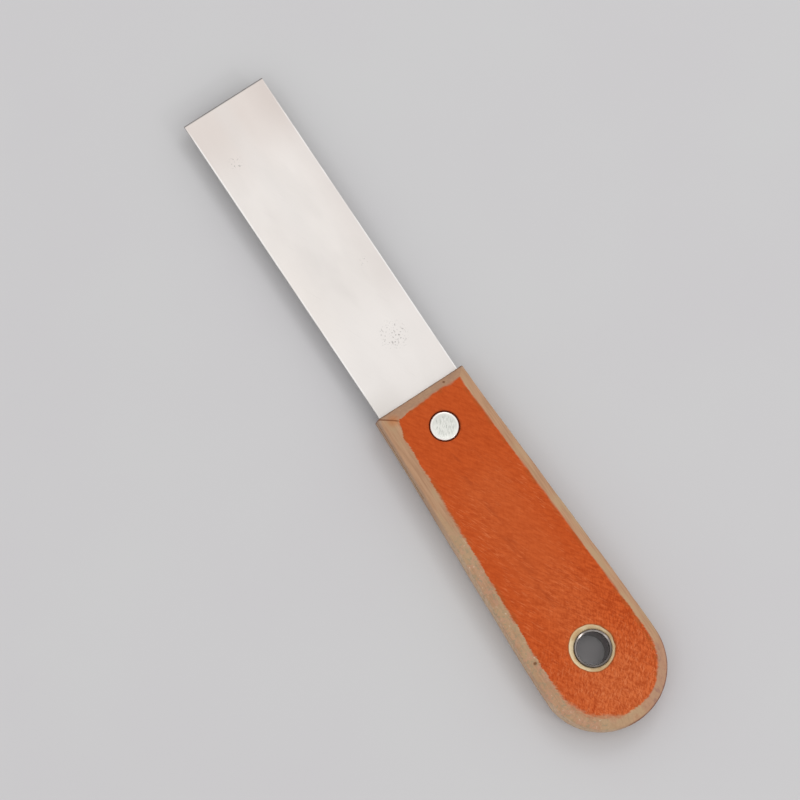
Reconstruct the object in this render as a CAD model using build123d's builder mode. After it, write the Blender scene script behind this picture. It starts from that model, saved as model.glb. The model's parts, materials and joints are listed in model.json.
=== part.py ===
from build123d import *

import os

# Flexible putty knife: a spring-steel blade held in the saw kerf of a bevelled hardwood handle.
#
# The knife lies flat. +X runs from the butt of the handle to the tip of the blade, +Z is up, and the
# origin is under the middle of the knife, on the surface that it lies on. Millimetres.

# Whole knife
overall_length = 190
handle_length = 100
tip_x = overall_length / 2
butt_x = -overall_length / 2
front_x = butt_x + handle_length

# Handle: one piece of hardwood, narrow at the blade and widest just before the rounded butt
handle_thickness = 10
front_width = 26.2
belly_width = 33.3
butt_depth = 16.4
belly_x = butt_x + butt_depth
side_length = front_x - belly_x
side_slope = 0.032
front_pull = 0.4 * side_length
belly_pull = 0.2 * side_length
corner_radius = 0.6
bevel_width = 2.9
front_bevel_width = 2.5
bevel_depth = 2.25

# Saw kerf for the blade, cut by a circular saw fed straight in at the front
mid_z = handle_thickness / 2
blade_thickness = 0.8
kerf_clearance = 0.05
kerf_width = blade_thickness + 2 * kerf_clearance
kerf_depth = 24.5
saw_radius = 70

# Blade: one straight strip, with a plain tang as wide as the rest
blade_width = 24
tang_length = 22
tang_corner_radius = 2
tip_corner_radius = 0.3
tip_chamfer = 0.2

# Two-piece rivet through the handle and the tang, its flat heads just below the wood
rivet_x = front_x - 10.8
head_radius = 3.75
head_thickness = 0.9
head_chamfer = 0.2
head_recess_radius = 4.05
head_recess_depth = 1.0
shank_radius = 2.2
rivet_hole_radius = 2.3
socket_radius = 1.45
pin_radius = 1.42
pin_chamfer = 0.3
shank_end_gap = 0.05
pin_end_gap = 0.25

# Hang hole: countersunk from both faces and lined with a flared metal eyelet
hang_x = front_x - 78.45
hang_bore_radius = 4.65
countersink_radius = 6.0
countersink_angle = 82
eyelet_inner_radius = 4.2
eyelet_wall = 0.4
flare_radius = 0.65
eyelet_recess = 0.7


def face_planes(x):
    """Planes on the handle's top and bottom faces at x, each facing out of the wood."""
    above = Plane(origin=(x, 0, handle_thickness), z_dir=(0, 0, 1))
    below = Plane(origin=(x, 0, 0), z_dir=(0, 0, -1))
    return above, below


# Handle -------------------------------------------------------------------------------------------
with BuildPart() as handle:
    with BuildSketch():
        with BuildLine():
            front_corner = (front_x, front_width / 2)
            Line((front_x, 0), front_corner)
            Bezier(
                front_corner,
                (front_x - front_pull, front_width / 2 + side_slope * front_pull),
                (belly_x + belly_pull, belly_width / 2),
                (belly_x, belly_width / 2),
            )
            EllipticalCenterArc((belly_x, 0), butt_depth, belly_width / 2, 90, arc_size=90)
            Line((butt_x, 0), (front_x, 0))
        make_face()
        mirror(about=Plane.XZ)
    extrude(amount=handle_thickness)

    # Bevels along the sides and round the butt, top and bottom
    for end in (0, -1):
        flat = handle.faces().sort_by(Axis.Z)[end]
        border = flat.edges().sort_by(Axis.X)[:-1]
        chamfer(border, length=bevel_width, length2=bevel_depth, reference=flat)

    # Bevels across the front, top and bottom
    with BuildSketch(Plane.XZ):
        for edge_z, inward in ((handle_thickness, -1), (0, 1)):
            with BuildLine():
                Polyline(
                    (front_x, edge_z),
                    (front_x - front_bevel_width, edge_z),
                    (front_x, edge_z + inward * bevel_depth),
                    close=True,
                )
            make_face()
    extrude(amount=front_width, both=True, mode=Mode.SUBTRACT)

    corner_posts = handle.edges().filter_by(Axis.Z).group_by(Axis.X)[-1]
    fillet(corner_posts, radius=corner_radius)

    # Saw kerf: the disc of the saw, as deep into the handle as it was fed
    with BuildSketch(Plane.XY.offset(mid_z - kerf_width / 2)):
        with Locations((front_x - kerf_depth + saw_radius, 0)):
            Circle(saw_radius)
    extrude(amount=kerf_width, mode=Mode.SUBTRACT)

    # Rivet hole with a flat recess for each head, and the hang hole with its two countersinks
    with Locations(*face_planes(rivet_x)):
        CounterBoreHole(rivet_hole_radius, head_recess_radius, head_recess_depth, mid_z)
    with Locations(*face_planes(hang_x)):
        CounterSinkHole(hang_bore_radius, countersink_radius, mid_z, countersink_angle)

# Blade --------------------------------------------------------------------------------------------
with BuildPart() as blade:
    with BuildSketch(Plane.XY.offset(mid_z - blade_thickness / 2)):
        blade_length = tip_x - front_x + tang_length
        with Locations((tip_x - blade_length / 2, 0)):
            strip = Rectangle(blade_length, blade_width)
        corners = strip.vertices().group_by(Axis.X)
        fillet(corners[0], radius=tang_corner_radius)
        fillet(corners[-1], radius=tip_corner_radius)
        with Locations((rivet_x, 0)):
            Circle(rivet_hole_radius, mode=Mode.SUBTRACT)
    extrude(amount=blade_thickness)

    # The tip's top and bottom edges are broken by the grinder
    tip_edges = blade.edges().filter_by(Axis.Y).group_by(Axis.X)[-1]
    chamfer(tip_edges, length=tip_chamfer)

# Rivet: a hollow-shank half set from above and a solid-pin half driven up into it -----------------
upper_seat = handle_thickness - head_recess_depth
lower_seat = head_recess_depth
shank_end = lower_seat + shank_end_gap

with BuildPart() as rivet_female:
    with BuildSketch(Plane.XY.offset(upper_seat)):
        with Locations((rivet_x, 0)):
            Circle(head_radius)
    extrude(amount=head_thickness)
    upper_rim = rivet_female.edges().group_by(Axis.Z)[-1]
    chamfer(upper_rim, length=head_chamfer)
    with BuildSketch(Plane.XY.offset(shank_end)):
        with Locations((rivet_x, 0)):
            Circle(shank_radius)
    extrude(amount=upper_seat - shank_end)
    with BuildSketch(Plane.XY.offset(shank_end)):
        with Locations((rivet_x, 0)):
            Circle(socket_radius)
    extrude(amount=upper_seat - shank_end, mode=Mode.SUBTRACT)

with BuildPart() as rivet_male:
    with BuildSketch(Plane.XY.offset(lower_seat - head_thickness)):
        with Locations((rivet_x, 0)):
            Circle(head_radius)
    extrude(amount=head_thickness)
    lower_rim = rivet_male.edges().group_by(Axis.Z)[0]
    chamfer(lower_rim, length=head_chamfer)
    with BuildSketch(Plane.XY.offset(lower_seat)):
        with Locations((rivet_x, 0)):
            Circle(pin_radius)
    extrude(amount=upper_seat - lower_seat - pin_end_gap)
    pin_point = rivet_male.edges().group_by(Axis.Z)[-1]
    chamfer(pin_point, length=pin_chamfer)

# Eyelet: a thin tube with both ends rolled outwards -----------------------------------------------
with BuildPart() as eyelet:
    flare_r = eyelet_inner_radius + flare_radius
    flare_z = handle_thickness - eyelet_recess - flare_radius
    outer_flare_radius = flare_radius - eyelet_wall
    with BuildSketch(Plane(origin=(hang_x, 0, 0), x_dir=(1, 0, 0), z_dir=(0, -1, 0))):
        with BuildLine():
            inner_wall = Line((eyelet_inner_radius, mid_z), (eyelet_inner_radius, flare_z))
            inner_flare = CenterArc((flare_r, flare_z), flare_radius, 180, -90)
            outer_flare = CenterArc((flare_r, flare_z), outer_flare_radius, 90, 90)
            outer_wall = Line(outer_flare @ 1, (eyelet_inner_radius + eyelet_wall, mid_z))
            Line(inner_flare @ 1, outer_flare @ 0)
            Line(outer_wall @ 1, inner_wall @ 0)
        make_face()
        mirror(about=Plane.XZ.offset(-mid_z))
    revolve(axis=Axis((hang_x, 0, 0), (0, 0, 1)))

# Names and files ----------------------------------------------------------------------------------
handle.part.label = "handle"
blade.part.label = "blade"
rivet_female.part.label = "rivet_female"
rivet_male.part.label = "rivet_male"
eyelet.part.label = "eyelet"

os.makedirs("parts", exist_ok=True)
export_step(handle.part, "parts/handle.step")
export_step(blade.part, "parts/blade.step")
export_step(rivet_female.part, "parts/rivet_female.step")
export_step(rivet_male.part, "parts/rivet_male.step")
export_step(eyelet.part, "parts/eyelet.step")
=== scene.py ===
import json
import math

import bmesh
import bpy
from mathutils import Matrix, Vector, noise


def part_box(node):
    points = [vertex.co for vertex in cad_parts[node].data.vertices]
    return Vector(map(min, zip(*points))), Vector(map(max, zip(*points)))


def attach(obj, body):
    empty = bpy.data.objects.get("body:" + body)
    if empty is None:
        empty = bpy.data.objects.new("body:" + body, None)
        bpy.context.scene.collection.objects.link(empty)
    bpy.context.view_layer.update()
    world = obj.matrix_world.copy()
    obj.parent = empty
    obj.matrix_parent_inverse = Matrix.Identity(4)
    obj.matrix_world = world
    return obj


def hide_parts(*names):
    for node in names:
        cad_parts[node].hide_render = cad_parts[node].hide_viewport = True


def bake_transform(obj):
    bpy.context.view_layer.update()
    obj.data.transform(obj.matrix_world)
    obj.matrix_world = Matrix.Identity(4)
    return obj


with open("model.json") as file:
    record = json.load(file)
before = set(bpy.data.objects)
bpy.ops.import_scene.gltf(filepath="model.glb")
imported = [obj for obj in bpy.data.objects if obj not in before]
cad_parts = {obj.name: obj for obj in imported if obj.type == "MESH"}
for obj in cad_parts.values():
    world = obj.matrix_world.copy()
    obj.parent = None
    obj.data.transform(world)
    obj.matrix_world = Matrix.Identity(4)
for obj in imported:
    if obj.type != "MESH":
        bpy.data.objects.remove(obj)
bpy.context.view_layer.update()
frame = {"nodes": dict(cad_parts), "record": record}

# The looks of the putty knife: its worn wooden handle, bending blade, rivet and eyelet. Objects are in
# metres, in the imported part's frame: +X from the butt to the blade's tip, +Z up. Sizes in this script
# are in millimetres, apart from those of the lights, the floor and the camera's clipping.
MM = 0.001
TOUCHING = 1e-4

# What the meshes tell their materials, in millimetres: where a vertex is on the part at rest, and how
# far inside the border of the handle's flat it is in plan
REST = "rest_mm"
RIM = "rim_mm"

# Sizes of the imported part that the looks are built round, in millimetres
handle_low, handle_high = (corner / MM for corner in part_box("handle"))
blade_low, blade_high = (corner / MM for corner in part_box("blade"))
rivet_low, rivet_high = (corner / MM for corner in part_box("rivet_female"))
pin_low, pin_high = (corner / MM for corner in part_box("rivet_male"))
eyelet_low, eyelet_high = (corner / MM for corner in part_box("eyelet"))
front_x = handle_high.x
mid_z = (handle_low.z + handle_high.z) / 2
rivet_axis = (rivet_low + rivet_high) / 2
hang_axis = (eyelet_low + eyelet_high) / 2
eyelet_outer = (eyelet_high.x - eyelet_low.x) / 2
mounts = frame["record"]["mounts"]
eyelet_bore = next(mount["dims"]["r_mm"] for mount in mounts if mount["kind"] == "bore")

# The handle's bevels, the radius of its hole mouths, and where it is widest
SIDE_BEVEL = 2.9
FRONT_BEVEL = 2.5
FRONT_HALF_WIDTH = 13.1
HANG_MOUTH = 6.5
RIVET_MOUTH = 4.1
LOW_ARRIS = 2.25
BELLY_X = -78.6
front_corner = Vector((front_x - FRONT_BEVEL, FRONT_HALF_WIDTH - SIDE_BEVEL, 0))

# Wear: the rounding of the edges, and how much sanding took off the handle, broadly and finely uneven
ARRIS_ROUNDING = 0.4
BLADE_ROUNDING = 0.12
SANDED_OFF = 0.06
BROAD_WEAR = 0.12
FINE_WEAR = 0.05

# The rivet halves
HEAD_THICKNESS = 0.9
HEAD_ROUNDING = 0.35
HEAD_DISH = 0.12
SHANK_RADIUS = 2.2
SOCKET_RADIUS = 1.45
PIN_RADIUS = 1.42
PIN_CHAMFER = 0.3

# The marks on the wood and the blade. Left is +Y, as seen from the butt. A dot is its x, y and radius,
# and a mark on the blade has a strength too.
FIBRE_TURN = math.radians(33)
LEAST_RELIEF = 0.3
STREAK_START_X = -11.0
STREAK_Y = 2.5
BARE_RING_SHIFT = Vector((0.25, 0.38, 0.0))
WOOD_DOTS = ((3.8, -6.4, 0.5), (-68.5, 14.6, 0.6))
BLADE_MARKS = ((21.0, -3.0, 5.0, 0.8), (79.9, 6.2, 2.4, 0.7), (41.0, -7.4, 1.6, 0.5))

# The studio: how bright the white tent is, and the camera's place, its directions and its lens
TENT_SIDES = 0.76
TENT_TOP = 0.94
CAMERA_PLACE = Vector((-80.9, 256.81, 1253.18))
CAMERA_BACK = Vector((-0.0683, 0.1974, 0.9779))
CAMERA_UP = Vector((0.8286, -0.5348, 0.1658))
CAMERA_LENS = 225.7


def srgb(red, green, blue):
    """A display colour from 11 to 255 as the linear colour that shaders take."""
    linear = [((level / 255 + 0.055) / 1.055) ** 2.4 for level in (red, green, blue)]
    return (*linear, 1.0)


class Shader:
    """Short calls that build one material's nodes. A value is a number, a colour or another output.

    The functions for the materials and their layers call it s.
    """

    def __init__(self, name):
        self.material = bpy.data.materials.new(name)
        self.material.use_nodes = True
        self.nodes = self.material.node_tree.nodes
        self.links = self.material.node_tree.links
        self.nodes.clear()

    def node(self, kind, inputs, **settings):
        made = self.nodes.new(kind)
        for key, value in settings.items():
            setattr(made, key, value)
        for key, value in inputs.items():
            if isinstance(value, bpy.types.NodeSocket):
                self.links.new(value, made.inputs[key])
            else:
                made.inputs[key].default_value = value
        return made

    def place(self):
        """Where the surface was on the part at rest, in millimetres."""
        return self.node("ShaderNodeAttribute", {}, attribute_name=REST).outputs["Vector"]

    def measure(self, name):
        """A number stored on the mesh."""
        return self.node("ShaderNodeAttribute", {}, attribute_name=name).outputs["Fac"]

    def split(self, vector):
        return self.node("ShaderNodeSeparateXYZ", {0: vector}).outputs

    def math(self, operation, a, b=0.0):
        return self.node("ShaderNodeMath", {0: a, 1: b}, operation=operation).outputs[0]

    def chain(self, operation, values):
        """One operation over a row of values, from left to right."""
        result = values[0]
        for value in values[1:]:
            result = self.math(operation, result, value)
        return result

    def plus(self, *values):
        return self.chain("ADD", values)

    def minus(self, a, b):
        return self.math("SUBTRACT", a, b)

    def times(self, *values):
        """Where masks all overlap, or a mask made weaker by a number."""
        return self.chain("MULTIPLY", values)

    def away(self, value, middle):
        """How far a value is from its middle, whichever side it is on."""
        return self.math("ABSOLUTE", self.minus(value, middle))

    def noise(self, place, size, turn=0.0, detail=3.0, roughness=0.5, shift=0.0):
        """Noise from 0 to 1 with grains of this size in mm, along axes turned about Z."""
        size = size if isinstance(size, tuple) else (size,) * 3
        inputs = {"Vector": place, "Scale": size, "Rotation": (0, 0, turn), "Location": (shift,) * 3}
        mapped = self.node("ShaderNodeMapping", inputs, vector_type="TEXTURE").outputs[0]
        inputs = {"Vector": mapped, "Scale": 1.0, "Detail": detail, "Roughness": roughness}
        return self.node("ShaderNodeTexNoise", inputs).outputs["Fac"]

    def spread(self, value, low, high, out_low=0.0, out_high=1.0):
        """Turns low to high into out_low to out_high, with soft ends."""
        inputs = {"Value": value, "From Min": low, "From Max": high}
        inputs |= {"To Min": out_low, "To Max": out_high}
        return self.node("ShaderNodeMapRange", inputs, interpolation_type="SMOOTHSTEP").outputs[0]

    def fade(self, value, low, high):
        """A mask that is 1 up to low and 0 from high on."""
        return self.spread(value, low, high, 1.0, 0.0)

    def mix(self, factor, a, b):
        """Colour a where factor is 0 and colour b where it is 1."""
        return self.node("ShaderNodeMix", {0: factor, 6: a, 7: b}, data_type="RGBA").outputs[2]

    def radius(self, place, axis):
        """Distance in mm from a vertical axis."""
        inputs = {0: place, 1: (axis.x, axis.y, 0)}
        offset = self.node("ShaderNodeVectorMath", inputs, operation="SUBTRACT").outputs[0]
        inputs = {0: offset, 1: (1, 1, 0)}
        flat = self.node("ShaderNodeVectorMath", inputs, operation="MULTIPLY").outputs[0]
        return self.node("ShaderNodeVectorMath", {0: flat}, operation="LENGTH").outputs["Value"]

    def bump(self, height, depth):
        """A normal from a height of 0 to 1 that stands for depth in mm."""
        inputs = {"Height": height, "Distance": depth * MM, "Strength": 1.0}
        return self.node("ShaderNodeBump", inputs).outputs[0]

    def finish(self, **inputs):
        """Ends in a surface shader with these inputs."""
        named = {key.replace("_", " "): value for key, value in inputs.items()}
        surface = self.node("ShaderNodeBsdfPrincipled", named)
        output = self.node("ShaderNodeOutputMaterial", {})
        self.links.new(surface.outputs[0], output.inputs[0])
        return self.material


# Bare wood --------------------------------------------------------------------------------------


def bare_wood(s, place, rim):
    """The colour of untreated pale wood, as it shows on the bevels and sides."""
    grain = s.noise(place, (9.0, 0.6, 0.6), detail=4.0, roughness=0.6)
    colour = s.mix(s.spread(grain, 0.3, 0.7), srgb(174, 134, 104), srgb(192, 152, 120))
    pale = s.noise(place, (11.0, 4.0, 4.0), detail=2.0, shift=31.0)
    colour = s.mix(s.spread(pale, 0.48, 0.66, 0.0, 0.6), colour, srgb(186, 158, 124))
    colour = side_tones(s, place, rim, colour)
    return butt_tones(s, place, colour)


def side_tones(s, place, rim, colour):
    """Greyer sides with a painted shade line along the low arris, lighter and mottled where the left
    one is rough.
    """
    x, y, z = s.split(place)
    on_side = s.fade(rim, -SIDE_BEVEL - 0.2, -SIDE_BEVEL + 0.4)
    colour = s.mix(s.times(on_side, 0.6), colour, srgb(172, 150, 132))
    rough_side = s.times(s.spread(y, 4.0, 9.0), s.fade(x, -38.0, -22.0))
    colour = s.mix(s.times(on_side, rough_side, 0.8), colour, srgb(212, 186, 158))

    # Painted shade: a dark line along the low arris, from the middle towards the front
    over_arris = s.spread(z, LOW_ARRIS - 0.6, LOW_ARRIS - 0.1)
    under_arris = s.fade(z, LOW_ARRIS + 0.1, LOW_ARRIS + 1.1)
    low_arris_shade = s.times(over_arris, under_arris, s.spread(x, -48.0, -30.0))
    colour = s.mix(s.times(low_arris_shade, 0.7), colour, srgb(120, 92, 78))

    blush = s.noise(place, 2.2, detail=2.0, shift=53.0)
    rosy = s.times(s.spread(blush, 0.5, 0.62), rough_side)
    colour = s.mix(s.times(rosy, 0.5), colour, srgb(196, 148, 122))
    mottle = s.noise(place, 0.9, detail=3.0, roughness=0.7, shift=17.0)
    dull = s.times(s.spread(mottle, 0.5, 0.66, 0.0, 0.75), rough_side)
    colour = s.mix(dull, colour, srgb(154, 142, 116))
    bright = s.times(s.spread(mottle, 0.28, 0.38, 0.7, 0.0), rough_side)
    return s.mix(bright, colour, srgb(220, 204, 180))


def butt_tones(s, place, colour):
    """Sanding marks that fan out round the butt, and its warmer, smudged right side."""
    x, y, z = s.split(place)
    angle = s.math("ARCTAN2", y, s.minus(x, BELLY_X))
    spokes = s.node("ShaderNodeCombineXYZ", {0: s.times(angle, 14.0), 1: s.times(z, 0.1)}).outputs[0]
    sanding = s.noise(spokes, 0.35, detail=2.0)
    sanded = s.times(s.spread(sanding, 0.55, 0.75), s.fade(x, BELLY_X - 8, BELLY_X))
    colour = s.mix(s.times(sanded, 0.35), colour, srgb(146, 106, 82))

    right_butt = s.times(s.fade(x, BELLY_X - 6, BELLY_X), s.fade(y, -6.0, -1.0))
    colour = s.mix(s.times(right_butt, 0.45), colour, srgb(178, 132, 112))
    smudge = s.noise(place, (2.4, 1.6, 1.6), detail=3.0, shift=41.0)
    smudged = s.times(s.spread(smudge, 0.5, 0.66), right_butt)
    return s.mix(s.times(smudged, 0.55), colour, srgb(150, 108, 98))


def front_tones(s, place, rim, colour):
    """The greyer end grain of the front bevel, its dark edge, and stain and a dark line in the left
    mitre.
    """
    x, y, _ = s.split(place)
    along = Vector((FRONT_BEVEL, SIDE_BEVEL)).normalized()
    from_front = s.times(s.minus(x, front_corner.x), along.y)
    from_side = s.times(s.minus(s.away(y, 0.0), front_corner.y), along.x)
    off_mitre = s.minus(from_front, from_side)
    end_grain = s.noise(place, (0.5, 1.6, 0.5), detail=3.0, shift=37.0)
    on_front = s.times(s.spread(off_mitre, -0.05, 0.1), s.spread(end_grain, 0.3, 0.7, 0.4, 0.95))
    colour = s.mix(on_front, colour, srgb(168, 133, 109))
    at_edge = s.spread(x, front_x - 0.5, front_x - 0.15)
    front_line = s.times(at_edge, s.spread(end_grain, 0.3, 0.6, 0.5, 0.85))
    colour = s.mix(front_line, colour, srgb(104, 78, 60))

    bled_stain = s.spread(s.radius(place, front_corner), 0.2, 2.4, 0.6, 0.0)
    colour = s.mix(bled_stain, colour, srgb(190, 116, 66))
    # A dark line along the left mitre, near the corner
    in_mitre = s.fade(s.away(off_mitre, 0.0), 0.05, 0.3)
    on_bevel = s.fade(rim, 0.9, 1.5)
    at_corner = s.spread(x, front_corner.x - 1.6, front_corner.x - 0.4, 0.0, 0.8)
    dark_mitre_line = s.times(in_mitre, on_bevel, s.spread(y, 0.0, 1.0), at_corner)
    return s.mix(dark_mitre_line, colour, srgb(120, 68, 38))


def dark_marks(s, place, rim, colour):
    """Painted shade along the butt's outer edge, broken here and there, and a few dark dots."""
    x, y, z = s.split(place)
    # Painted shade: a dark line along the butt's outer edge on the upper right
    broken = s.noise(place, (5.0, 5.0, 1.0), detail=2.0, shift=23.0)
    outer_edge = s.fade(rim, -SIDE_BEVEL + 0.1, -SIDE_BEVEL + 0.55)
    upper_right = s.times(s.spread(z, mid_z, mid_z + 2), s.fade(y, -2.0, 8.0))
    round_butt = s.times(upper_right, s.fade(x, -84.0, -72.0))
    butt_edge_shade = s.times(outer_edge, round_butt, s.spread(broken, 0.35, 0.6, 0.4, 0.95))
    colour = s.mix(butt_edge_shade, colour, srgb(108, 58, 46))

    for dot_x, dot_y, radius in WOOD_DOTS:
        dot = s.radius(place, Vector((dot_x, dot_y, 0)))
        colour = s.mix(s.spread(dot, radius * 0.3, radius, 0.8, 0.0), colour, srgb(110, 70, 42))
    return colour


# Stained wood -----------------------------------------------------------------------------------


def fibre_height(s, place):
    """The height of the fuzz on the stained flats, from 0 to 1, with more relief towards the butt."""
    x, y, _ = s.split(place)
    long_fibres = s.noise(place, (2.5, 0.7, 0.7), turn=FIBRE_TURN, detail=4.0, roughness=0.65)
    short_size = (1.3, 0.5, 0.5)
    short_fibres = s.noise(place, short_size, turn=-FIBRE_TURN, detail=3.0, roughness=0.6, shift=9.0)
    short_share = s.spread(x, -80.0, -50.0, 0.6, 0.25)
    fibres = s.plus(long_fibres, s.times(s.minus(short_fibres, long_fibres), short_share))
    rough_end = s.times(s.fade(x, -80.0, -30.0), s.spread(y, -8.0, 10.0, 1.2, 0.8))
    relief = s.math("MAXIMUM", rough_end, LEAST_RELIEF)
    return s.plus(s.times(s.minus(fibres, 0.5), relief), 0.5)


def orange_stain(s, place, rim, fuzz):
    """The colour of the stained flats: paler along the middle, behind the front, and at the butt."""
    x, y, _ = s.split(place)
    patches = s.noise(place, (16.0, 6.0, 6.0), detail=2.0, shift=7.0)
    middle = s.times(s.fade(s.away(y, 0.0), 3.0, 10.0), s.fade(x, -26.0, -16.0))
    at_butt = s.spread(x, -84.0, -68.0, 0.4, 0.0)
    pale = s.plus(s.times(middle, 0.28), s.times(patches, 0.24), at_butt)
    dark_fibre = s.mix(pale, srgb(170, 63, 18), srgb(180, 82, 38))
    light_fibre = s.mix(pale, srgb(202, 87, 34), srgb(210, 110, 60))
    colour = s.mix(s.spread(fuzz, 0.39, 0.61), dark_fibre, light_fibre)
    colour = stray_fibres(s, place, patches, colour)
    return stain_shades(s, place, rim, colour)


def stray_fibres(s, place, patches, colour):
    """Light and dark fibres that stand out: long hairs in patches, and short tufts by the butt."""
    x, _, _ = s.split(place)
    hairy = s.times(s.spread(patches, 0.35, 0.6, 0.3, 0.9), s.spread(x, -34.0, -8.0, 0.55, 0.12))
    for turn, length, shade in ((0.75, 2.6, srgb(218, 122, 74)), (1.35, 2.0, srgb(164, 58, 18))):
        size = (length, 0.26, 0.3)
        hairs = s.noise(place, size, turn=FIBRE_TURN * turn, detail=2.0, shift=45.0 * turn)
        colour = s.mix(s.times(s.spread(hairs, 0.56, 0.7), hairy), colour, shade)
    tufted = s.spread(x, -82.0, -62.0, 0.6, 0.0)
    for turn, shade in ((-0.9, srgb(220, 126, 78)), (-0.2, srgb(160, 58, 18))):
        tufts = s.noise(place, (1.4, 0.35, 0.4), turn=turn, detail=2.0, shift=51.0 + turn)
        colour = s.mix(s.times(s.spread(tufts, 0.55, 0.7), tufted), colour, shade)
    return colour


def stain_shades(s, place, rim, colour):
    """A darker streak along the grain, and browner stain in places along the border."""
    x, y, _ = s.split(place)
    wander = s.noise(place, (5.0, 1.2, 1.2), turn=FIBRE_TURN / 2, detail=3.0, shift=13.0)
    streak = s.times(s.fade(s.away(y, STREAK_Y), 0.1, 1.9), s.spread(wander, 0.42, 0.62, 0.0, 0.45))
    along = s.times(s.fade(x, STREAK_START_X - 3, STREAK_START_X), s.spread(x, -66.0, -52.0))
    colour = s.mix(s.times(streak, along), colour, srgb(158, 62, 24))

    edge_tone = s.noise(place, (3.0, 2.0, 2.0), detail=3.0, shift=19.0)
    right_butt = s.times(s.fade(x, -78.0, -68.0), s.fade(y, -4.0, 4.0))
    edge_share = s.plus(0.5, s.times(right_butt, 0.4))
    at_edge = s.times(s.fade(rim, 0.2, 1.3), s.spread(edge_tone, 0.48, 0.62))
    return s.mix(s.times(at_edge, edge_share), colour, srgb(160, 82, 36))


def stain_cover(s, place, rim):
    """Where the stain is, from 0 to 1: a frayed border, worn back at the front corner and the butt."""
    x, y, _ = s.split(place)
    left = s.spread(y, 2.0, 8.0)
    left_butt = s.times(left, s.fade(x, -86.0, -76.0))
    towards_butt = s.fade(x, -80.0, -60.0)

    fray_turn = 1.5 * FIBRE_TURN
    frays = s.noise(place, (1.6, 0.4, 0.4), turn=fray_turn, detail=3.0, roughness=0.6, shift=5.0)
    fray_depth = s.plus(s.times(left, 0.14), s.times(towards_butt, 0.16), 0.06)
    waves = s.noise(place, 4.0, detail=2.0, shift=3.0)
    near_front = s.spread(x, front_corner.x - 2.5, front_corner.x - 0.5, 0.0, 0.7)
    wave_depth = s.plus(s.times(s.math("MAXIMUM", left, towards_butt), 0.3), 0.24, near_front)
    frayed = s.times(s.spread(frays, 0.25, 0.75, -1.0, 1.0), fray_depth)
    ragged = s.plus(frayed, s.times(s.spread(waves, 0.25, 0.75, -0.5, 0.5), wave_depth))

    corner_wear = s.spread(s.radius(place, front_corner), 0.0, 6.0, 1.2, 0.0)
    worn_back = s.plus(corner_wear, s.times(left_butt, 0.3))
    edge = s.minus(s.plus(rim, ragged), worn_back)
    patchy = s.noise(place, 7.0, detail=2.0, shift=29.0)
    softness = s.plus(s.spread(patchy, 0.4, 0.6, 0.18, 0.45), s.times(left_butt, 0.6))
    return s.spread(edge, s.times(softness, -1.0), softness)


def hole_edges(s, place, colour):
    """The bare ring round the eyelet, uneven and a little off centre, and painted shade in the gaps at
    the eyelet's and rivet's edges.
    """
    unevenness = s.noise(place, 3.0, detail=1.0, shift=3.0)
    uneven_radius = s.spread(unevenness, 0.25, 0.75, -0.13, 0.13)
    ring = s.plus(s.radius(place, hang_axis + BARE_RING_SHIFT), uneven_radius)
    colour = s.mix(s.spread(ring, 6.05, 6.45, 0.6, 0.0), colour, srgb(132, 84, 44))
    cream = s.mix(s.spread(unevenness, 0.35, 0.65), srgb(204, 172, 128), srgb(224, 204, 166))
    colour = s.mix(s.fade(ring, 5.9, 6.1), colour, cream)
    # Painted contact shadow round the eyelet's lip
    eyelet_contact_shade = s.spread(s.radius(place, hang_axis), 4.85, 5.05, 0.7, 0.0)
    colour = s.mix(eyelet_contact_shade, colour, srgb(92, 70, 46))
    # Painted shade in the gap round the rivet head
    rivet_gap_shade = s.spread(s.radius(place, rivet_axis), 4.0, 4.15, 0.9, 0.0)
    return s.mix(rivet_gap_shade, colour, srgb(118, 50, 28))


def handle_wood():
    s = Shader("handle_wood")
    place = s.place()
    rim = s.measure(RIM)
    fuzz = fibre_height(s, place)
    bare = front_tones(s, place, rim, bare_wood(s, place, rim))
    bare = dark_marks(s, place, rim, bare)
    stain = orange_stain(s, place, rim, fuzz)
    colour = hole_edges(s, place, s.mix(stain_cover(s, place, rim), bare, stain))

    pores = s.noise(place, (3.0, 0.2, 0.3), turn=math.radians(8), detail=3.0, shift=11.0)
    relief = s.bump(s.plus(s.times(fuzz, 0.8), s.times(pores, 0.4)), 0.05)
    roughness = s.spread(fuzz, 0.3, 0.7, 0.85, 0.72)
    return s.finish(Base_Color=colour, Roughness=roughness, Specular_IOR_Level=0.12, Normal=relief)


# Metals and floor -------------------------------------------------------------------------------


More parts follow.
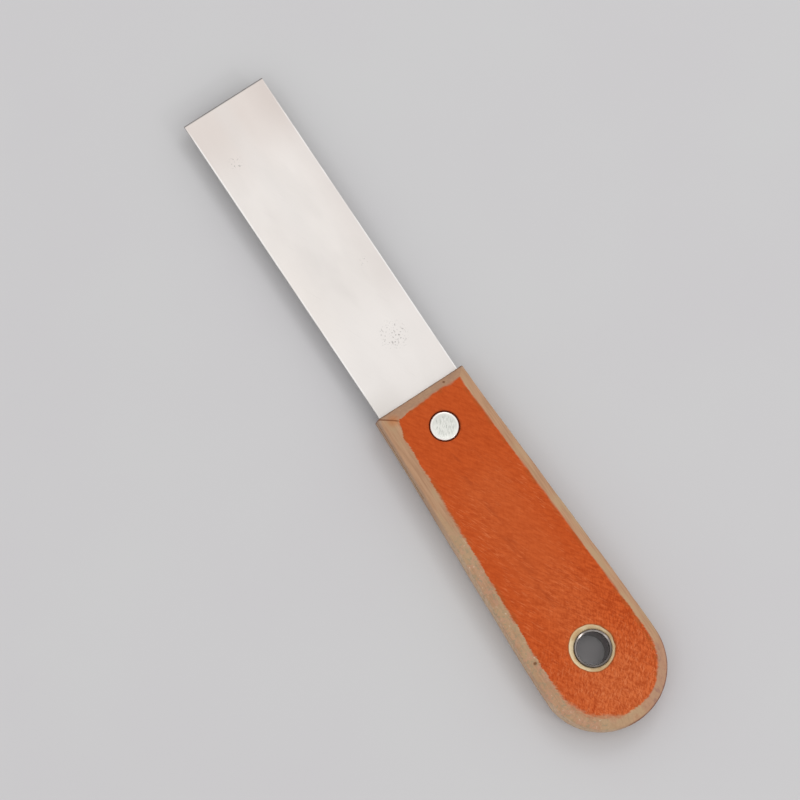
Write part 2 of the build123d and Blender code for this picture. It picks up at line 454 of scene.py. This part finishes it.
def blade_tones(s, place):
    """The blade's broad tones: random clouds and a grey band, with a painted highlight in the left
    middle and near the root, and painted shade at the tip, the right side and the root.
    """
    x, y, _ = s.split(place)
    clouds = s.noise(place, (18.0, 7.0, 7.0), detail=3.0, shift=5.0)
    colour = s.mix(s.spread(clouds, 0.35, 0.65), srgb(222, 217, 213), srgb(227, 222, 218))
    # Painted shade towards the tip
    tip_shade = s.spread(x, blade_high.x - 26, blade_high.x - 4)
    colour = s.mix(s.times(tip_shade, 0.7), colour, srgb(209, 199, 193))
    # Painted shade on the right side, darkest near the tip
    right_shade = s.fade(y, -12.0, -3.0)
    colour = s.mix(s.times(right_shade, 0.55), colour, srgb(215, 208, 204))
    tip_right_shade = s.times(right_shade, s.spread(x, 74.0, 90.0))
    colour = s.mix(s.times(tip_right_shade, 0.65), colour, srgb(200, 190, 184))
    # Painted highlight in the left middle and near the root
    left_highlight = s.times(s.spread(y, 4.0, 11.0), s.spread(x, 14.0, 30.0), s.fade(x, 46.0, 66.0))
    colour = s.mix(s.times(left_highlight, 0.6), colour, srgb(234, 228, 223))
    root_highlight = s.fade(x, 22.0, 38.0)
    colour = s.mix(s.times(root_highlight, 0.5), colour, srgb(236, 232, 229))
    # Painted shade at the root, by the handle
    root_shade = s.times(s.fade(x, front_x + 1, 14.0), s.spread(y, 0.0, 11.0, 0.2, 1.0))
    colour = s.mix(s.times(root_shade, 0.5), colour, srgb(208, 203, 197))
    grey_band = s.times(s.spread(s.away(y, 1.5), 0.5, 4.0, 0.3, 0.0), s.spread(x, 30.0, 60.0))
    return s.mix(grey_band, colour, srgb(217, 213, 210))


def blade_marks(s, place, colour):
    """Clusters of specks, fine hair scratches, a painted shade line along the tip and painted
    highlights along the long edges.
    """
    x, y, _ = s.split(place)
    specks = s.noise(place, 0.5, detail=2.0, roughness=0.6, shift=2.0)
    for spot_x, spot_y, radius, strength in BLADE_MARKS:
        near = s.fade(s.radius(place, Vector((spot_x, spot_y, 0))), radius * 0.3, radius)
        marked = s.times(near, s.spread(specks, 0.58, 0.66, 0.0, strength))
        colour = s.mix(marked, colour, srgb(150, 146, 142))
    # Painted shade: a dark line along the tip's edge
    tip_edge_shade = s.spread(x, blade_high.x - 0.45, blade_high.x - 0.15)
    colour = s.mix(s.times(tip_edge_shade, 0.8), colour, srgb(120, 118, 116))

    # Painted highlights along the long edges, broken here and there
    long_edge = s.spread(s.away(y, 0.0), blade_high.y - 0.4, blade_high.y - 0.15)
    gaps = s.noise(place, (14.0, 3.0, 3.0), detail=2.0, shift=61.0)
    broken = s.spread(gaps, 0.4, 0.54, 0.25, 1.0)
    edge_highlight = s.times(long_edge, broken, s.fade(x, 88.0, 96.0))
    colour = s.mix(s.times(edge_highlight, 0.9), colour, srgb(250, 248, 246))
    hairs = s.noise(place, (7.0, 0.15, 1.0), turn=math.radians(24), detail=2.0, shift=6.0)
    return s.mix(s.spread(hairs, 0.66, 0.78, 0.0, 0.25), colour, srgb(200, 196, 192))


def blade_steel():
    s = Shader("blade_steel")
    place = s.place()
    colour = blade_marks(s, place, blade_tones(s, place))
    brushing = s.noise(place, (0.12, 6.0, 1.0), detail=3.0, shift=2.0)
    roughness = s.spread(brushing, 0.3, 0.7, 0.33, 0.4)
    relief = s.bump(brushing, 0.0015)
    return s.finish(Base_Color=colour, Metallic=1.0, Roughness=roughness, Normal=relief)


def rivet_steel():
    s = Shader("rivet_steel")
    place = s.place()
    from_axis = s.radius(place, rivet_axis)
    clouds = s.noise(place, 2.0, detail=3.0, shift=4.0)
    colour = s.mix(s.spread(clouds, 0.35, 0.65), srgb(221, 222, 216), srgb(233, 233, 227))
    # Painted highlight on the head's rounded rim
    colour = s.mix(s.spread(from_axis, 3.0, 3.5), colour, srgb(244, 241, 236))
    centre = s.fade(from_axis, 2.2, 3.1)
    for turn in (-38, -28):
        angle = math.radians(turn)
        scratches = s.noise(place, (1.5, 0.17, 1.0), turn=angle, detail=1.0, shift=turn / 7)
        scratched = s.times(s.spread(scratches, 0.58, 0.7, 0.0, 0.6), centre)
        colour = s.mix(scratched, colour, srgb(140, 144, 136))
    dents = s.noise(place, 1.2, detail=2.0)
    return s.finish(Base_Color=colour, Metallic=1.0, Roughness=0.32, Normal=s.bump(dents, 0.02))


def eyelet_steel():
    """Bright plating, with painted shade on the side towards the butt and at the lip's outer edge,
    duller down the tube.
    """
    s = Shader("eyelet_steel")
    place = s.place()
    x, _, z = s.split(place)
    clouds = s.noise(place, 1.5, detail=3.0)
    colour = s.mix(s.spread(clouds, 0.3, 0.7), srgb(138, 131, 127), srgb(156, 149, 145))
    # Painted shade on the side of the eyelet towards the butt
    butt_side_shade = s.spread(x, hang_axis.x - 3.5, hang_axis.x + 1.5, 0.65, 0.0)
    colour = s.mix(butt_side_shade, colour, srgb(78, 73, 70))
    depth = s.minus(eyelet_high.z - mid_z, s.away(z, mid_z))
    colour = s.mix(s.spread(depth, 0.5, 1.6), colour, srgb(138, 128, 126))
    # Painted shade along the lip's outer edge
    lip = s.spread(s.radius(place, hang_axis), eyelet_outer - 0.22, eyelet_outer - 0.05)
    colour = s.mix(s.times(lip, 0.85), colour, srgb(92, 84, 80))
    return s.finish(Base_Color=colour, Metallic=1.0, Roughness=0.23, Normal=s.bump(clouds, 0.004))


def floor_paper():
    s = Shader("floor_paper")
    metres = s.node("ShaderNodeTexCoord", {}).outputs["Object"]
    inputs = {0: metres, 1: (1 / MM,) * 3}
    place = s.node("ShaderNodeVectorMath", inputs, operation="MULTIPLY").outputs[0]
    tone = s.noise(place, 60.0, detail=3.0)
    colour = s.mix(s.spread(tone, 0.3, 0.7), srgb(203, 202, 204), srgb(204, 204, 205))
    return s.finish(Base_Color=colour, Roughness=0.9, Specular_IOR_Level=0.1)


# Meshes -----------------------------------------------------------------------------------------


def cad_surface(node):
    """A copy of a CAD node's mesh in mm, its triangles joined into flat faces."""
    surface = bmesh.new()
    surface.from_mesh(frame["nodes"][node].data)
    bmesh.ops.scale(surface, vec=(1 / MM,) * 3, verts=surface.verts)
    bmesh.ops.remove_doubles(surface, verts=surface.verts, dist=TOUCHING)
    flat = math.radians(0.5)
    bmesh.ops.dissolve_limit(surface, angle_limit=flat, verts=surface.verts, edges=surface.edges)
    return surface


def cut(surface, axis, at):
    """Cuts the faces that cross a plane at right angles to an axis."""
    point = Vector((0, 0, 0))
    point[axis] = at
    normal = Vector((0, 0, 0))
    normal[axis] = 1
    everything = surface.verts[:] + surface.edges[:] + surface.faces[:]
    bmesh.ops.bisect_plane(surface, geom=everything, dist=TOUCHING, plane_co=point, plane_no=normal)


def slice_up(surface, axis, low, high, step):
    """Cuts the faces on evenly spaced planes across an axis, so that they can bend or be worn."""
    count = int((high - low) / step)
    for index in range(1, count):
        cut(surface, axis, low + (high - low) * index / count)


def make_piece(surface, name, material, smooth_angle=35):
    """Turns a surface in mm into an object in metres that knows its rest positions."""
    mesh = bpy.data.meshes.new(name)
    surface.normal_update()
    surface.to_mesh(mesh)
    surface.free()
    rest = mesh.attributes.new(REST, "FLOAT_VECTOR", "POINT")
    for vertex in mesh.vertices:
        rest.data[vertex.index].vector = vertex.co
    mesh.transform(Matrix.Scale(MM, 4))
    mesh.materials.append(material)
    mesh.shade_smooth()
    mesh.set_sharp_from_angle(angle=math.radians(smooth_angle))
    piece = bpy.data.objects.new(name, mesh)
    bpy.context.scene.collection.objects.link(piece)
    return piece


def in_a_hole(point, margin):
    """True inside the handle's hang hole or rivet hole, or within this margin of them in plan."""
    from_hang = (point.xy - hang_axis.xy).length
    from_rivet = (point.xy - rivet_axis.xy).length
    return from_hang < HANG_MOUTH + margin or from_rivet < RIVET_MOUTH + margin


def is_arris(edge):
    """True for the handle's outer arrises, and not for its kerf, mitres or holes."""
    start, end = (vertex.co for vertex in edge.verts)
    middle = (start + end) / 2
    in_kerf = abs(middle.z - mid_z) < 1
    sharp = edge.calc_face_angle(0) >= math.radians(20)
    level = abs(start.z - end.z) < 0.01
    long_enough = edge.calc_length() >= 0.3
    return sharp and level and long_enough and not in_kerf and not in_a_hole(middle, 1.0)


def flat_border(surface):
    """The segments round the handle's top flat, as pairs of points in plan."""
    border = []
    for edge in surface.edges:
        start, end = (vertex.co for vertex in edge.verts)
        on_top = min(start.z, end.z) > handle_high.z - 0.01
        up = [face.normal.z > 0.999 for face in edge.link_faces]
        if on_top and any(up) and not all(up) and not in_a_hole((start + end) / 2, 1.0):
            border.append((start.xy.copy(), end.xy.copy()))
    return border


def distance_to(border, point):
    """Distance in plan from a point to the nearest segment, and on which side: inside is positive."""
    best = math.inf
    crossings = 0
    for start, end in border:
        along = end - start
        share = max(0.0, min(1.0, (point - start).dot(along) / along.length_squared))
        best = min(best, (start + along * share - point).length)
        if (start.y > point.y) != (end.y > point.y):
            crossing_x = start.x + (point.y - start.y) / (end.y - start.y) * along.x
            crossings += crossing_x > point.x
    return best if crossings % 2 else -best


def wear(point):
    """How far hand sanding moved a point of the handle along its normal, in mm."""
    broad = noise.noise(point / 9.0) * BROAD_WEAR
    fine = noise.noise(point / 2.2 + Vector((50, 0, 0))) * FINE_WEAR
    return broad + fine - SANDED_OFF


def calm_normals(surface, passes):
    """Vertex normals averaged with their neighbours', so that narrow faces don't fold when moved."""
    normals = {vertex: vertex.normal.copy() for vertex in surface.verts}
    for _ in range(passes):
        averaged = {}
        for vertex, normal in normals.items():
            total = normal.copy()
            for edge in vertex.link_edges:
                total += normals[edge.other_vert(vertex)]
            averaged[vertex] = total.normalized()
        normals = averaged
    return normals


def wear_down(surface):
    """Moves the handle's outer faces as sanding did, within its box, and leaves its kerf and holes."""
    for vertex, normal in calm_normals(surface, 3).items():
        if abs(vertex.co.z - mid_z) < 0.9 or in_a_hole(vertex.co, 0.2):
            continue
        moved = vertex.co + normal * wear(vertex.co)
        for axis in range(3):
            moved[axis] = min(max(moved[axis], handle_low[axis]), handle_high[axis])
        vertex.co = moved


def build_handle():
    surface = cad_surface("handle")
    surface.normal_update()
    border = flat_border(surface)
    arrises = [edge for edge in surface.edges if is_arris(edge)]
    rounding = {"offset": ARRIS_ROUNDING, "segments": 3, "profile": 0.5, "affect": "EDGES"}
    bmesh.ops.bevel(surface, geom=arrises, **rounding)
    for axis, step in enumerate((1.0, 1.0, 1.1)):
        slice_up(surface, axis, handle_low[axis], handle_high[axis], step)
    sliver = 0.01
    bmesh.ops.dissolve_degenerate(surface, dist=sliver, edges=surface.edges)
    surface.normal_update()
    wear_down(surface)
    piece = make_piece(surface, "handle_worn", handle_wood())
    rim = piece.data.attributes.new(RIM, "FLOAT", "POINT")
    for vertex in piece.data.vertices:
        rim.data[vertex.index].value = distance_to(border, vertex.co.xy / MM)
    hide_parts("handle")
    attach(piece, "handle")


def round_long_edges(surface, radius):
    """Breaks the blade's four long edges: two cuts beside each one, and its own line moved inwards."""
    for axis in (1, 2):
        for at in (blade_low[axis] + radius, blade_high[axis] - radius):
            cut(surface, axis, at)
    inwards = radius * (1 - math.sqrt(0.5))
    for vertex in surface.verts:
        on_side = abs(vertex.co.y) > blade_high.y - 0.01
        on_face = abs(vertex.co.z - mid_z) > blade_high.z - mid_z - 0.01
        if on_side and on_face:
            vertex.co.y -= math.copysign(inwards, vertex.co.y)
            vertex.co.z -= math.copysign(inwards, vertex.co.z - mid_z)


def build_blade():
    """The strip, its long edges rounded and its faces cut across every millimetre along its length; its
    tang sits in the kerf.
    """
    surface = cad_surface("blade")
    round_long_edges(surface, BLADE_ROUNDING)
    slice_up(surface, 0, blade_low.x, blade_high.x, 1.0)
    piece = make_piece(surface, "blade_flexible", blade_steel(), smooth_angle=15)
    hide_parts("blade")
    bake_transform(piece)


def lathe(name, axis, outline, material, steps=72):
    """A turned piece: an outline of (radius, z) points in mm spun round a vertical axis."""
    surface = bmesh.new()
    rings = []
    for radius, z in outline:
        if radius == 0:
            rings.append([surface.verts.new((axis.x, axis.y, z))])
            continue
        ring = []
        for step in range(steps):
            angle = 2 * math.pi * step / steps
            x, y = axis.x + radius * math.cos(angle), axis.y + radius * math.sin(angle)
            ring.append(surface.verts.new((x, y, z)))
        rings.append(ring)
    pairs = list(zip(rings, rings[1:]))
    if len(rings[0]) > 1:
        pairs.append((rings[-1], rings[0]))
    for lower, upper in pairs:
        for step in range(steps):
            after = (step + 1) % steps
            corners = [lower[step % len(lower)], lower[after % len(lower)]]
            corners += [upper[after % len(upper)], upper[step % len(upper)]]
            surface.faces.new(list(dict.fromkeys(corners)))
    bmesh.ops.recalc_face_normals(surface, faces=surface.faces)
    return make_piece(surface, name, material)


def arc(centre_r, centre_z, radius, start, end, count):
    """Points along an arc of an outline, with its angles in degrees."""
    points = []
    for index in range(count + 1):
        angle = math.radians(start + (end - start) * index / count)
        points.append((centre_r + radius * math.cos(angle), centre_z + radius * math.sin(angle)))
    return points


def head_outline(face, inward):
    """A rivet head from its middle, slightly dished, over its rounded rim to the seat behind it."""
    radius = (rivet_high.x - rivet_low.x) / 2
    rim_start = radius - HEAD_ROUNDING
    dish = ((0, 1.0), (0.4, 0.9), (0.7, 0.5))
    outline = [(radius * share, face + inward * HEAD_DISH * depth) for share, depth in dish]
    outline.append((rim_start - 0.3, face + inward * 0.02))
    outline += arc(rim_start, face + inward * HEAD_ROUNDING, HEAD_ROUNDING, -90 * inward, 0, 5)
    outline.append((radius, face + inward * HEAD_THICKNESS))
    return outline


def build_rivet():
    """The upper half has a hollow shank, and the lower half has the pin that is driven into it."""
    steel = rivet_steel()
    upper_seat = rivet_high.z - HEAD_THICKNESS
    outline = head_outline(rivet_high.z, -1)
    outline += [(SHANK_RADIUS, upper_seat), (SHANK_RADIUS, rivet_low.z)]
    outline += [(SOCKET_RADIUS, rivet_low.z), (SOCKET_RADIUS, upper_seat), (0, upper_seat)]
    upper = lathe("rivet_upper", rivet_axis, outline, steel)
    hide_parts("rivet_female")
    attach(upper, "handle")

    outline = head_outline(pin_low.z, 1)
    outline += [(PIN_RADIUS, pin_low.z + HEAD_THICKNESS), (PIN_RADIUS, pin_high.z - PIN_CHAMFER)]
    outline += [(PIN_RADIUS - PIN_CHAMFER, pin_high.z), (0, pin_high.z)]
    lower = lathe("rivet_lower", rivet_axis, outline, steel)
    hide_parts("rivet_male")
    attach(lower, "handle")


def build_eyelet():
    """A thin tube, each end of it a small roll that opens into a flat flare."""
    wall = 0.4
    lip = 0.06
    lip_thickness = 0.14
    flare_slope = math.tan(math.radians(25))
    throat = eyelet_bore + 0.12
    flare_end = eyelet_outer - lip

    # One end as (radius, depth below its face): the tube's inside, the flare, the lip and the back
    end = [(eyelet_bore, 0.6), (eyelet_bore + 0.02, 0.42)]
    for share in (0.0, 0.15, 0.85, 1.0):
        radius = throat + (flare_end - throat) * share
        end.append((radius, 0.02 + (flare_end - radius) * flare_slope))
    end += [(eyelet_outer, lip), (eyelet_outer, lip + lip_thickness)]
    end += [(eyelet_bore + wall + 0.1, 0.44), (eyelet_bore + wall, 0.75)]

    outline = [(radius, eyelet_high.z - depth) for radius, depth in end]
    outline += [(radius, eyelet_low.z + depth) for radius, depth in reversed(end)]
    piece = lathe("eyelet_rolled", hang_axis, outline, eyelet_steel(), steps=96)
    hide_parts("eyelet")
    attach(piece, "handle")


# Studio -----------------------------------------------------------------------------------------


def build_floor():
    """A sheet of pale paper, a hair below the handle so that the two don't share a plane."""
    half = 1.5
    mesh = bpy.data.meshes.new("floor")
    corners = [(-half, -half, 0), (half, -half, 0), (half, half, 0), (-half, half, 0)]
    mesh.from_pydata(corners, [], [(0, 1, 2, 3)])
    mesh.materials.append(floor_paper())
    floor = bpy.data.objects.new("floor", mesh)
    bpy.context.scene.collection.objects.link(floor)
    floor.location.z = -0.02 * MM


def build_world():
    """A soft white tent, a little brighter overhead than at the sides."""
    world = bpy.data.worlds.new("studio")
    world.use_nodes = True
    nodes, links = world.node_tree.nodes, world.node_tree.links
    direction = nodes.new("ShaderNodeTexCoord")
    parts = nodes.new("ShaderNodeSeparateXYZ")
    height = nodes.new("ShaderNodeMapRange")
    height.inputs["To Min"].default_value = TENT_SIDES
    height.inputs["To Max"].default_value = TENT_TOP
    links.new(direction.outputs["Generated"], parts.inputs[0])
    links.new(parts.outputs["Z"], height.inputs["Value"])
    links.new(height.outputs[0], nodes["Background"].inputs["Strength"])
    nodes["Background"].inputs["Color"].default_value = (1.0, 0.993, 0.99, 1)
    bpy.context.scene.world = world


def add_light(name, place, target, size, watts):
    """A round softbox that faces its target, in metres."""
    data = bpy.data.lights.new(name, "AREA")
    data.shape = "DISK"
    data.size = size
    data.energy = watts
    light = bpy.data.objects.new(name, data)
    bpy.context.scene.collection.objects.link(light)
    light.location = place
    light.rotation_mode = "QUATERNION"
    light.rotation_quaternion = (Vector(target) - Vector(place)).to_track_quat("-Z", "Y")


def build_camera():
    """A long lens, almost straight above the knife."""
    data = bpy.data.cameras.new("camera")
    data.sensor_width = 36
    data.lens = CAMERA_LENS
    data.clip_start = 0.05
    data.clip_end = 20
    camera = bpy.data.objects.new("camera", data)
    bpy.context.scene.collection.objects.link(camera)
    back = CAMERA_BACK.normalized()
    right = CAMERA_UP.cross(back).normalized()
    up = back.cross(right)
    turned = Matrix((right, up, back)).transposed().to_4x4()
    camera.matrix_world = Matrix.Translation(CAMERA_PLACE * MM) @ turned
    bpy.context.scene.camera = camera


build_handle()
build_blade()
build_rivet()
build_eyelet()
build_floor()
build_world()
add_light("key", (0.46, -0.46, 0.87), (0, 0, 0), 0.45, 1.05)
add_light("butt_side", (-0.75, -0.355, 0.65), (-0.07, 0, 0), 0.22, 0.68)
add_light("left_side", (-0.164, 0.594, 0.783), (-0.07, 0, 0), 0.24, 0.22)
build_camera()
bpy.context.scene.view_settings.view_transform = "Standard"
